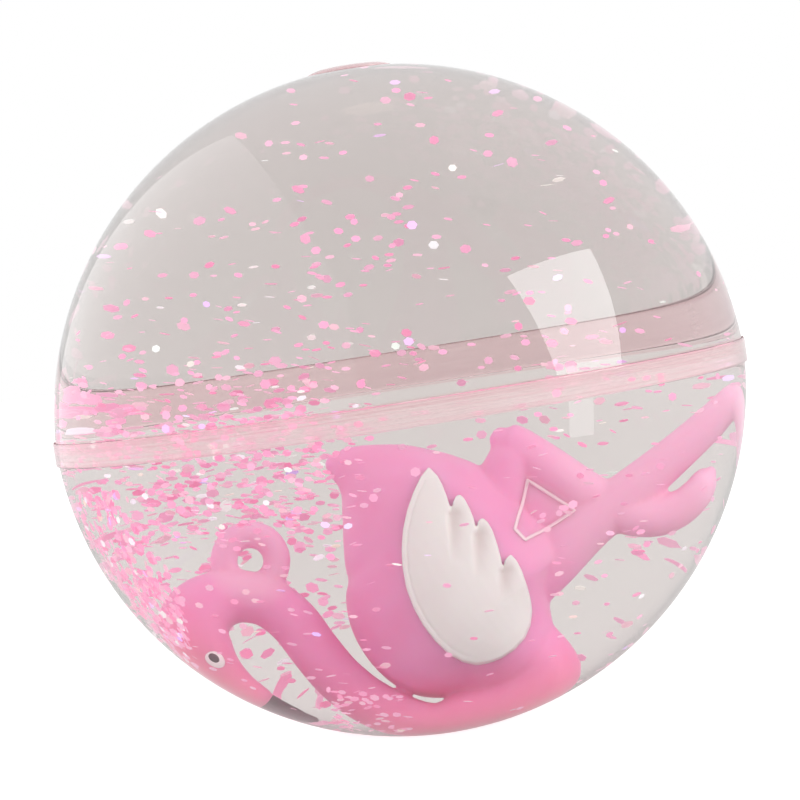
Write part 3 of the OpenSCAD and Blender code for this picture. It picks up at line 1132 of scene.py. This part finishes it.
            # painted shade: the pink deepens towards the bottom and the outside
            low_shades.append(share_of(-z, *self.low_shade_drop) * share_of(math.hypot(x, z), *self.low_shade_reach))
            # painted light: the legs, the loop and the top are painted a paler pink, standing in for light
            # through thin parts and light on the top
            legs = share_of(x, *self.painted_light_right) * share_of(z, *self.painted_light_up)
            loop = share_of(-math.hypot(x - self.loop_at[0], z - self.loop_at[1]), *self.painted_light_loop)
            high = self.painted_light_top_share * share_of(z, *self.painted_light_top)
            marks.append(max(legs, loop, high))
        mark_points(piece, "thin_pigment_and_painted_light", marks)
        mark_points(piece, "painted_low_shade", low_shades)

    @staticmethod
    def apart_from(place: Vector, start: Point, end: Point) -> tuple[Vector, float]:
        """Find how far a place is from a line.

        Args:
            place: The place, x and z in millimetres.
            start: Where the line starts.
            end: Where it ends.

        Returns:
            The way from the line to the place, and the share of the line at its foot.
        """
        run = Vector(end) - Vector(start)
        apart = place - Vector(start)
        share = share_of(apart.dot(run), 0.0, run.length_squared)
        return apart - run * share, share

    def wing_relief(self, x: float, z: float) -> float:
        """Tell how far the wing's face lies under its smooth skin at a place.

        Args:
            x: Place along X, in millimetres.
            z: Place along Z.

        Returns:
            The depth in millimetres, of feather grooves and of the line inside the front edge.
        """
        place, dip = Vector((x, z)), 0.0
        for start, end in FEATHER_LINES:
            gap, share = self.apart_from(place, start, end)
            wide = self.groove_widths[gap.cross(Vector(end) - Vector(start)) >= 0]
            dip = max(dip, self.groove_depth * math.exp(-(gap.length / wide) ** 2) * (1 - share))
        if x < self.rim_fade and z < self.rim_top:
            front = WING_OUTLINE[self.rim_start:] + WING_OUTLINE[:1]
            edge = min(self.apart_from(place, a, b)[0].length for a, b in zip(front, front[1:]))
            fade = min(1.0, (self.rim_fade - x) / self.rim_fade) * self.rim_line_depth
            line = math.exp(-((edge - self.rim_line) / self.rim_line_width) ** 2)
            dip = max(dip, fade * line, fade / 2 if edge > self.rim_line else 0.0)
        return dip

    def wing(self, name: str) -> bpy.types.Object:
        """Shape the near wing as a raised plate that follows the body.

        Args:
            name: The piece's name.

        Returns:
            The wing.
        """
        piece = block(name, WING_OUTLINE, *self.wing_span, self.scale)
        trunk = self.trunk()
        carve(piece, swollen(trunk, "wing_skin", self.wing_height), "INTERSECT")
        carve(piece, swollen(trunk, "wing_seat", -self.wing_root), "DIFFERENCE")
        bpy.data.objects.remove(trunk, do_unlink=True)
        soften(piece, self.wing_voxel, self.wing_smoothing)
        outward = [vertex.normal.y < -0.2 for vertex in piece.data.vertices]
        # painted shade: the grooves and the line inside the front edge are marked darker by their depth
        grooves = []
        for vertex, shown in zip(piece.data.vertices, outward):
            dip = self.wing_relief(vertex.co.x / MM, vertex.co.z / MM) if shown else 0.0
            vertex.co.y += dip * MM
            grooves.append(min(1.0, self.painted_groove_shade * dip))
        mark_points(piece, "thin_pigment_and_painted_light", grooves)
        apply_modifier(piece, "SMOOTH", factor=0.5, iterations=1)
        return piece

    @staticmethod
    def mirrored(piece: bpy.types.Object, name: str) -> bpy.types.Object:
        """Copy a piece to the figure's other flank.

        Args:
            piece: The piece to copy.
            name: The copy's name.

        Returns:
            The mirrored copy, with its own mesh.
        """
        copy = copied(piece, name)
        bpy.ops.transform.resize(value=(1.0, -1.0, 1.0), center_override=(0.0, 0.0, 0.0))
        bpy.ops.mesh.normals_make_consistent(inside=False)
        bpy.ops.object.mode_set(mode="OBJECT")
        return copy

    def domes(self, name: str, diameter: float, face: float, bulge: float) -> bpy.types.Object:
        """Set a low dome on each side of the head.

        Args:
            name: The piece's name.
            diameter: The dome's diameter.
            face: Distance from the mid-plane to the dome's top.
            bulge: How far the dome rises from its edge.

        Returns:
            The pair of domes as one piece.
        """
        pair = []
        for side in Side:
            deselect()
            bpy.ops.mesh.primitive_uv_sphere_add(segments=40, ring_count=20, radius=diameter / 2 * MM)
            dome = named(name)
            edit_all()
            bpy.ops.transform.resize(value=(1.0, bulge / (diameter / 2), 1.0))
            bpy.ops.transform.translate(value=(
                self.eye_at[0] * MM, side.value * (face - bulge) * MM, self.eye_at[1] * MM,
            ))
            bpy.ops.object.mode_set(mode="OBJECT")
            bpy.ops.object.shade_smooth()
            pair.append(dome)
        return merged(pair, name)

    def bill(self) -> bpy.types.Object:
        """Draw the black tip of the bill."""
        slim = self.bill_slimness
        line = tuple((x, z, slim * width, slim * depth) for x, z, width, depth in NECK_LINE[-1:] + BEAK_LINE)
        rows = smooth_run(line, 10)
        return drawn("bill_tip", rings_along(rows, 40, 0.0, self.scale))

    def build(self, effects: SharedEffects) -> bpy.types.Object:
        """Build and dress the figure.

        Args:
            effects: The shared node groups.

        Returns:
            The pink moulding.
        """
        pink = SoftMoulding(
            "figure_pink",
            MouldedSkin((0.98, 0.385, 0.68), (0.97, 0.33, 0.61), 130.0, 1400.0, (0.36, 0.5), 0.1),
            # the last colour is the painted light: the paler pink of the legs, loop and top
            0.6, 3.0, 0.2, (0.97, 0.52, 0.72),
        )
        # painted highlight: the pale bead round the web
        line = SoftMoulding(
            "figure_painted_highlight_line",
            MouldedSkin((0.98, 0.80, 0.87), (0.97, 0.74, 0.82), 300.0, 2000.0, (0.36, 0.5), 0.05),
            0.0, 0.5, 0.2,
        )
        white = SoftMoulding(
            "figure_white",
            MouldedSkin((0.90, 0.905, 0.90), (0.885, 0.88, 0.875), 160.0, 1600.0, (0.32, 0.46), 0.1),
            # the last colour is the painted shade of the grooves
            0.2, 0.8, 0.2, (0.70, 0.63, 0.62),
        )
        eye = SoftMoulding(
            "figure_eye_white",
            MouldedSkin((0.96, 0.92, 0.93), (0.95, 0.86, 0.89), 500.0, 2500.0, (0.2, 0.3), 0.05),
            0.1, 0.5, 0.4,
        )
        black = SoftMoulding(
            "figure_black",
            MouldedSkin((0.045, 0.006, 0.018), (0.085, 0.012, 0.036), 420.0, 2200.0, (0.2, 0.34), 0.1),
            0.0, 0.5, 0.15,
        )
        white_finish, black_finish = white.make(effects), black.make(effects)
        moulding = self.body()
        skins = [pink.make(effects), line.make(effects)]
        dress(moulding, skins, Body.FIGURE, Slot.FIGURE_PINK, "flamingo_body")
        # the painted-light mark also picks out the bead round the web for its own finish
        thin_pigment_and_painted_light = moulding.data.attributes["thin_pigment_and_painted_light"].data
        for face in moulding.data.polygons:
            face.material_index = int(thin_pigment_and_painted_light[face.vertices[0]].value > (1.0 + self.frame_mark) / 2)
        near = self.wing("feathered_wing_left")
        far = self.mirrored(near, "feathered_wing_right")
        dress(near, [white_finish], Body.FIGURE, Slot.FIGURE_WHITE, "wing_left")
        dress(far, [white_finish], Body.FIGURE, Slot.FIGURE_WHITE, "wing_right")
        eyes = self.domes("eye_domes", self.eye_diameter, self.eye_face, self.eye_bulge)
        dress(eyes, [eye.make(effects)], Body.FIGURE, Slot.EYE_WHITE, "eye_whites")
        pupil_face = self.eye_face + self.pupil_lift
        pupils = self.domes("pupil_domes", self.pupil_diameter, pupil_face, self.pupil_bulge)
        dress(pupils, [black_finish], Body.FIGURE, Slot.FIGURE_BLACK, "pupils")
        dress(self.bill(), [black_finish], Body.FIGURE, Slot.FIGURE_BLACK, "beak_tip")
        return moulding


class FlakeKind(Enum):
    """The three cuts of glitter."""

    PINK = "pink"
    PEARL = "pearl"
    VIOLET = "violet"


@dataclass
class WaterFilling:
    """The water and the glitter that hangs in it."""

    cavity_radius: float = 46.5
    rim_loss: float = 1.65
    gap: float = 0.3
    flake_width: float = 1.3
    flake_thickness: float = 0.05
    flake_border: float = 0.16
    flake_dish: float = 0.02
    hanging: int = 2300
    settled: int = 1200
    lean: float = 8.8
    path_room: float = 2.4
    skin_room: float = 0.3
    high_from: float = 2.0
    high_back: float = 26.0
    high_fade: float = 8.0
    high_crowds: tuple[float, float, float] = (0.06, 0.05, 0.4)
    low_crowds: tuple[float, float, float] = (0.14, 0.03, 0.85)
    low_right: float = 14.0
    front_crowd: float = 0.12
    front_from: Point = (-5.0, -13.0)
    pile_angle: float = 58.0
    pile_spread: float = 0.5
    pile_thinning: float = 0.7
    pile_depth: float = 5.0
    pile_rest: float = 0.2
    pile_front: float = 14.0
    pile_left: float = -31.0
    pile_gap: Point = (-15.0, -5.0)
    pile_top: float = -5.0
    pile_middle: float = 36.0
    tilts: tuple[float, float] = (26.0, 10.0)
    sizes: tuple[float, float] = (0.7, 1.05)
    shares: tuple[tuple[FlakeKind, float], ...] = (
        (FlakeKind.PINK, 0.92), (FlakeKind.PEARL, 0.97), (FlakeKind.VIOLET, 1.0),
    )
    seed: int = 21

    def water(self) -> bpy.types.Object:
        """Turn the lens-shaped ball of water."""
        radius, points = self.cavity_radius - self.gap, 72
        low = math.asin(self.rim_loss / radius)
        angles = [math.pi / 2 + (low - math.pi / 2) * k / points for k in range(points + 1)]
        top = [(max(radius * math.cos(a), 0.0), radius * math.sin(a) - self.rim_loss) for a in angles]
        low_half = [(across, -height) for across, height in reversed(top[:-1])]
        return turned("water_fill", top + low_half, 144, False)

    def flake(self) -> bpy.types.Object:
        """Cut one six-sided flake with a faint dish."""
        deselect()
        bpy.ops.mesh.primitive_cylinder_add(
            vertices=6, radius=self.flake_width / 2 * MM, depth=self.flake_thickness * MM,
            end_fill_type="NGON",
        )
        piece = named("flake")
        bpy.ops.object.mode_set(mode="EDIT")
        mesh = bmesh.from_edit_mesh(piece.data)
        for face in mesh.faces:
            face.select_set(face.normal.z > 0.5)
        bmesh.update_edit_mesh(piece.data)
        bpy.ops.mesh.select_mode(type="FACE")
        bpy.ops.mesh.inset(thickness=self.flake_border * MM)
        bpy.ops.transform.translate(value=(0.0, 0.0, -self.flake_dish * MM))
        bpy.ops.mesh.select_mode(type="VERT")
        bpy.ops.object.mode_set(mode="OBJECT")
        piece.data.attributes.new("tone", "FLOAT", "POINT")
        return piece

    def crowding(self, place: Vector) -> float:
        """Tell how thick the glitter is at a place.

        Args:
            place: The place in millimetres.

        Returns:
            A share from 0 to 1.
        """
        if place.z > self.high_from:
            least, even, leftward = self.high_crowds
            left = share_of(-place.x, -8.0, 20.0)
            return least + (even + leftward * left) * math.exp(-place.z / self.high_fade)
        right, middle, leftward = self.low_crowds
        left = share_of(-place.x, 3.0, 13.0)
        front = place.y < self.front_from[0] and place.z < self.front_from[1]
        near = self.front_crowd if front else 1.0
        return (right if place.x > self.low_right else middle) + leftward * left * near

    def swept(self, figure: bpy.types.Object) -> list[float]:
        """Measure how wide a path the figure needs to tumble in, ring by ring round its axis.

        Args:
            figure: The pink moulding.

        Returns:
            Half the path's width, for each millimetre from the axis.
        """
        widths = [0.0] * round(self.cavity_radius + 3.0)
        for vertex in figure.data.vertices:
            ring = int(math.hypot(vertex.co.x, vertex.co.z) / MM)
            for near in (ring - 1, ring, ring + 1):
                widths[near] = max(widths[near], abs(vertex.co.y) / MM + self.path_room)
        return widths

    def places(self, figure: bpy.types.Object) -> list[tuple[Vector, Vector]]:
        """Scatter the flakes clear of the figure, of its path and of the shell.

        Args:
            figure: The pink moulding.

        Returns:
            Each flake's place in millimetres, and the way its face looks.
        """
        draw = random.Random(self.seed)
        path = self.swept(figure)
        tree = skin_tree(figure, MM)
        lean = math.radians(self.lean)
        upright = Vector((math.sin(lean), 0.0, math.cos(lean)))
        pile = Euler((0.0, math.radians(self.pile_angle), 0.0)).to_matrix() @ Vector((0.0, 0.0, -1.0))
        reach = self.cavity_radius - self.gap - self.flake_width / 2
        found: list[tuple[Vector, Vector]] = []
        while len(found) < self.hanging + self.settled:
            if len(found) < self.hanging:
                place, face = Vector([draw.uniform(-reach, reach) for _ in range(3)]), upright
                far_back = place.z > self.high_from and place.y > self.high_back
                rare = draw.random() > self.crowding(place) or far_back
            else:
                face = (pile + Vector([draw.gauss(0.0, self.pile_spread) for _ in range(3)])).normalized()
                depth = min(draw.expovariate(self.pile_thinning), self.pile_depth)
                place = face * (reach - self.rim_loss - self.pile_rest - depth)
                gap = self.pile_gap[0] < place.x < self.pile_gap[1]
                face_on = place.y < self.pile_front and place.x > self.pile_left and not gap
                middle = math.hypot(place.x, place.z) < self.pile_middle
                rare = face_on or place.z > self.pile_top or middle
            inside = Vector((place.x, place.y, abs(place.z) + self.rim_loss)).length < reach
            if rare or not inside or abs(place.y) < path[int(math.hypot(place.x, place.z))]:
                continue
            skin, normal, _, apart = tree.find_nearest(place)
            if (place - skin).dot(normal) > 0 and apart > self.flake_width / 2 + self.skin_room:
                found.append((place, face))
        return found

    def scatter(self, figure: bpy.types.Object) -> dict[FlakeKind, bpy.types.Object]:
        """Copy the flake to every place and join each colour.

        Args:
            figure: The pink moulding that the flakes keep clear of.

        Returns:
            One piece for each kind of flake.
        """
        draw = random.Random(self.seed + 1)
        master = self.flake()
        heaps: dict[FlakeKind, list[bpy.types.Object]] = {kind: [] for kind in FlakeKind}
        for place, face in self.places(figure):
            copy = master.copy()
            copy.data = master.data.copy()
            bpy.context.collection.objects.link(copy)
            tone = draw.random()
            copy.data.attributes["tone"].data.foreach_set("value", [tone] * len(copy.data.vertices))
            flat = Vector((0.0, 0.0, 1.0)).rotation_difference(face).to_matrix().to_4x4()
            tilt = Euler([math.radians(draw.gauss(0.0, spread)) for spread in self.tilts] + [0.0])
            spin = Matrix.Rotation(draw.uniform(0.0, math.tau), 4, "Z")
            size = Matrix.Diagonal((draw.uniform(*self.sizes),) * 2 + (1.0, 1.0))
            turn = flat @ tilt.to_matrix().to_4x4() @ spin @ size
            copy.matrix_world = Matrix.Translation(place * MM) @ turn
            pick = draw.random()
            heaps[next(kind for kind, share in self.shares if pick < share)].append(copy)
        bpy.data.objects.remove(master, do_unlink=True)
        pieces: dict[FlakeKind, bpy.types.Object] = {}
        for kind, heap in heaps.items():
            piece = merged(heap, f"flakes_{kind.value}")
            bpy.ops.object.transform_apply(location=True, rotation=True, scale=True)
            pieces[kind] = piece
        return pieces

    def build(self, effects: SharedEffects, figure: bpy.types.Object) -> None:
        """Build and dress the water and the glitter.

        Args:
            effects: The shared node groups.
            figure: The pink moulding that the flakes keep clear of.
        """
        still = MouldedSkin((1.0, 1.0, 1.0), (0.99, 0.99, 0.99), 60.0, 600.0, (0.0, 0.0), 0.0)
        water = ClearVinyl("water", still, 1.0, 1.0, (1.0, 1.0, 1.0), (0.30, 0.22, 0.18), 3.6)
        # each film's last number is its painted glow
        films = {
            FlakeKind.PINK: FlakeFilm("flake_film_pink", (
                (0.0, (0.96, 0.47, 0.69)), (0.3, (0.96, 0.57, 0.77)),
                (0.7, (0.94, 0.65, 0.81)), (1.0, (0.93, 0.72, 0.79)),
            ), 0.4, 0.1, 0.5, 0.3),
            FlakeKind.PEARL: FlakeFilm("flake_film_pearl", (
                (0.0, (0.96, 0.97, 0.93)), (0.4, (0.93, 0.90, 0.98)),
                (0.7, (0.88, 0.97, 0.93)), (1.0, (0.93, 0.76, 0.68)),
            ), 0.15, 1.0, 0.2, 0.35),
            FlakeKind.VIOLET: FlakeFilm("flake_film_violet", (
                (0.0, (0.76, 0.58, 0.96)), (0.5, (0.90, 0.62, 0.94)), (1.0, (0.84, 0.80, 0.98)),
            ), 0.15, 0.8, 0.3, 0.4),
        }
        dress(self.water(), [water.make(effects)], Body.FILLING, Slot.WATER, "water")
        for kind, piece in self.scatter(figure).items():
            slot = Slot(f"flake_{kind.value}")
            dress(piece, [films[kind].make()], Body.FILLING, slot, f"glitter_{kind.value}")


@dataclass
class Studio:
    """White floor and backdrop, three softboxes and the camera."""

    distance: float = 0.4
    elevation: float = 2.3
    roll: float = 8.8
    lens: float = 124.3
    floor_height: float = -48.4
    floor_reach: float = 3.0
    floor_near: Colour = (0.72, 0.705, 0.70)
    floor_middle: Colour = (0.68, 0.67, 0.665)
    floor_far: Colour = (0.96, 0.95, 0.945)
    floor_lift: float = 0.5
    soft_level: float = 0.98

    def camera(self) -> None:
        """Set the camera at the photograph's angle."""
        rise, lean = math.radians(self.elevation), math.radians(self.roll)
        back = Vector((0.0, -math.cos(rise), math.sin(rise)))
        level, upright = Vector((1.0, 0.0, 0.0)), Vector((0.0, math.sin(rise), math.cos(rise)))
        right = level * math.cos(lean) - upright * math.sin(lean)
        up = level * math.sin(lean) + upright * math.cos(lean)
        turn = Matrix((right, up, back)).transposed().to_4x4()
        data = bpy.data.cameras.new("camera")
        data.lens, data.sensor_width, data.clip_start = self.lens, 36.0, 0.01
        eye = bpy.data.objects.new("camera", data)
        bpy.context.collection.objects.link(eye)
        eye.matrix_world = Matrix.Translation(back * self.distance) @ turn
        bpy.context.scene.camera = eye

    @staticmethod
    def toward(azimuth: float, elevation: float, distance: float) -> Vector:
        """Find a place from the camera's side round to the right, and up.

        Args:
            azimuth: Degrees from the camera's side towards +X.
            elevation: Degrees over the level.
            distance: Metres from the ball's centre.

        Returns:
            The place in metres.
        """
        a, e = math.radians(azimuth), math.radians(elevation)
        return distance * Vector((math.cos(e) * math.sin(a), -math.cos(e) * math.cos(a), math.sin(e)))

    def softbox(self, name: str, foot: Vector, head: Vector, width: float, watts: float,
                face: Vector | None = None) -> None:
        """Hang a rectangular lamp.

        Args:
            name: The lamp's name.
            foot: The middle of its lower edge, in metres.
            head: The middle of its upper edge.
            width: Its width in metres.
            watts: Its power.
            face: The way from the scene to the lamp, or nothing for a lamp that faces the ball.
        """
        lamp = bpy.data.lights.new(name, "AREA")
        lamp.shape, lamp.size, lamp.size_y, lamp.energy = "RECTANGLE", width, (head - foot).length, watts
        holder = bpy.data.objects.new(name, lamp)
        bpy.context.collection.objects.link(holder)
        middle = (foot + head) / 2
        rise = (head - foot).normalized()
        face = face or (middle - rise * middle.dot(rise)).normalized()
        turn = Matrix((rise.cross(face), rise, face)).transposed().to_4x4()
        holder.matrix_world = Matrix.Translation(middle) @ turn
        holder.visible_camera = False
        holder.visible_transmission = False

    @staticmethod
    def seen_rays(sheet: NodeSheet) -> bpy.types.NodeSocket:
        """Mark the rays that show the backdrop: straight, mirrored or through glass.

        Args:
            sheet: The sheet to add the nodes to.

        Returns:
            The socket that is 1 for such rays.
        """
        path = sheet.add("ShaderNodeLightPath")
        first = sheet.add("ShaderNodeMath", operation="MAXIMUM")
        second = sheet.add("ShaderNodeMath", operation="MAXIMUM")
        sheet.wire(
            (path, "Is Camera Ray", first, 0), (path, "Is Glossy Ray", first, 1), (first, 0, second, 0),
            (path, "Is Transmission Ray", second, 1),
        )
        return second.outputs[0]

    def world(self) -> None:
        """Light the scene evenly and show white behind it."""
        world = bpy.data.worlds.new("studio")
        bpy.context.scene.world = world
        world.use_nodes = True
        sheet = NodeSheet(world.node_tree)
        soft = sheet.add("ShaderNodeBackground", {"Color": WHITE, "Strength": self.soft_level})
        white = sheet.add("ShaderNodeBackground", {"Color": WHITE, "Strength": 1.0})
        mix = sheet.add("ShaderNodeMixShader")
        output = sheet.add("ShaderNodeOutputWorld")
        sheet.link(self.seen_rays(sheet), mix.inputs[0])
        sheet.wire((soft, 0, mix, 1), (white, 0, mix, 2), (mix, 0, output, "Surface"))

    def floor(self) -> None:
        """Lay a plain white floor that keeps a soft shadow."""
        deselect()
        bpy.ops.mesh.primitive_circle_add(
            vertices=96, radius=self.floor_reach, fill_type="NGON",
            location=(0.0, 0.0, self.floor_height * MM),
        )
        plane = named("floor")
        material, sheet = material_sheet("floor_white")
        coords = sheet.add("ShaderNodeTexCoord")
        apart = sheet.add("ShaderNodeVectorMath", operation="LENGTH")
        sheet_edge = sheet.add("ShaderNodeMapRange", {"From Min": 0.100, "From Max": 0.104})
        tone = sheet.mix({MIX_FIRST: rgba(self.floor_near), MIX_SECOND: rgba(self.floor_middle)})
        distant = sheet.add("ShaderNodeMapRange", {"From Min": 0.25, "From Max": 1.2})
        paler = sheet.mix({MIX_SECOND: rgba(self.floor_far)})
        plain = sheet.add("ShaderNodeBsdfPrincipled", {"Roughness": 0.9, "Specular IOR Level": 0.0})
        sheet.wire(
            (coords, "Object", apart, 0), (apart, "Value", sheet_edge, "Value"),
            (sheet_edge, 0, tone, MIX_SHARE), (apart, "Value", distant, "Value"),
            (distant, 0, paler, MIX_SHARE), (tone, MIX_COLOUR, paler, MIX_FIRST),
            (paler, MIX_COLOUR, plain, "Base Color"),
        )
        lift = sheet.add("ShaderNodeEmission", {"Color": WHITE, "Strength": self.floor_lift})
        both = sheet.add("ShaderNodeAddShader")
        mix = sheet.add("ShaderNodeMixShader")
        path = sheet.add("ShaderNodeLightPath")
        sheet.wire(
            (plain, 0, both, 0), (lift, 0, both, 1), (path, "Is Camera Ray", mix, 0), (plain, 0, mix, 1),
            (both, 0, mix, 2),
        )
        sheet.put_out(mix)
        plane.data.materials.append(material)

    def build(self) -> None:
        """Set up camera, floor, world and lamps."""
        bpy.context.scene.view_settings.view_transform = "Standard"
        self.camera()
        self.floor()
        self.world()
        self.softbox("key", self.toward(62.0, 4.5, 0.80), self.toward(65.0, 35.0, 0.60), 0.34, 2.2)
        low, high = (self.toward(47.0, elevation, 0.125) for elevation in (-15.5, -5.0))
        self.softbox("low_card", low, high, 0.016, 0.0026)
        self.softbox("side_wall", Vector((-0.5, -0.73, -0.03)), Vector((-0.5, -0.45, 1.44)), 3.2, 7.5,
                     Vector((-1.0, 0.0, 0.0)))


def main() -> None:
    """Build the studio and the three sub-assemblies."""
    logging.basicConfig(level=logging.INFO, format="%(name)s: %(message)s")
    effects = SharedEffects()
    Studio().build()
    BallShell().build(effects)
    moulding = FlamingoFigure().build(effects)
    WaterFilling().build(effects, moulding)


if __name__ == "__main__":
    main()
